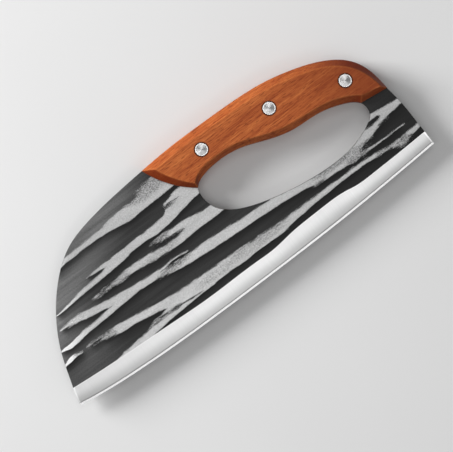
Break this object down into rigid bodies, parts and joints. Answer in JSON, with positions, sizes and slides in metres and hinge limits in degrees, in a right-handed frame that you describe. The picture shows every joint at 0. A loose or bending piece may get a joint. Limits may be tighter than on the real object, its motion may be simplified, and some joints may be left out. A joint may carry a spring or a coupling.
{
  "type": "meat cleaver",
  "caption": "Forged meat cleaver with a curved edge, an oval finger opening through the blade and a riveted wooden grip along the blade's back.",
  "frame": {"origin": "under the middle of the outline, in the plane of the back scale's flat face, which the cleaver lies on", "axes": "+X along the cutting edge from nose to heel, +Y from the cutting edge to the back of the grip, +Z square to the blade, from the back scale to the front scale"},
  "size_m": [0.26, 0.0966, 0.0195],
  "materials": {
    "blade_steel": "forge-blackened flat with bright hammered streaks and a polished wide bevel",
    "scale_wood": "oiled reddish hardwood, grain along the grip",
    "rivet_steel": "turned bright face"
  },
  "bodies": {
    "root": {"blade": "blade_steel", "front_scale": "scale_wood", "back_scale": "scale_wood", "rivet_tube_nose": "rivet_steel", "rivet_tube_middle": "rivet_steel", "rivet_tube_heel": "rivet_steel", "rivet_pin_nose": "rivet_steel", "rivet_pin_middle": "rivet_steel", "rivet_pin_heel": "rivet_steel"}
  },
  "joints": []
}
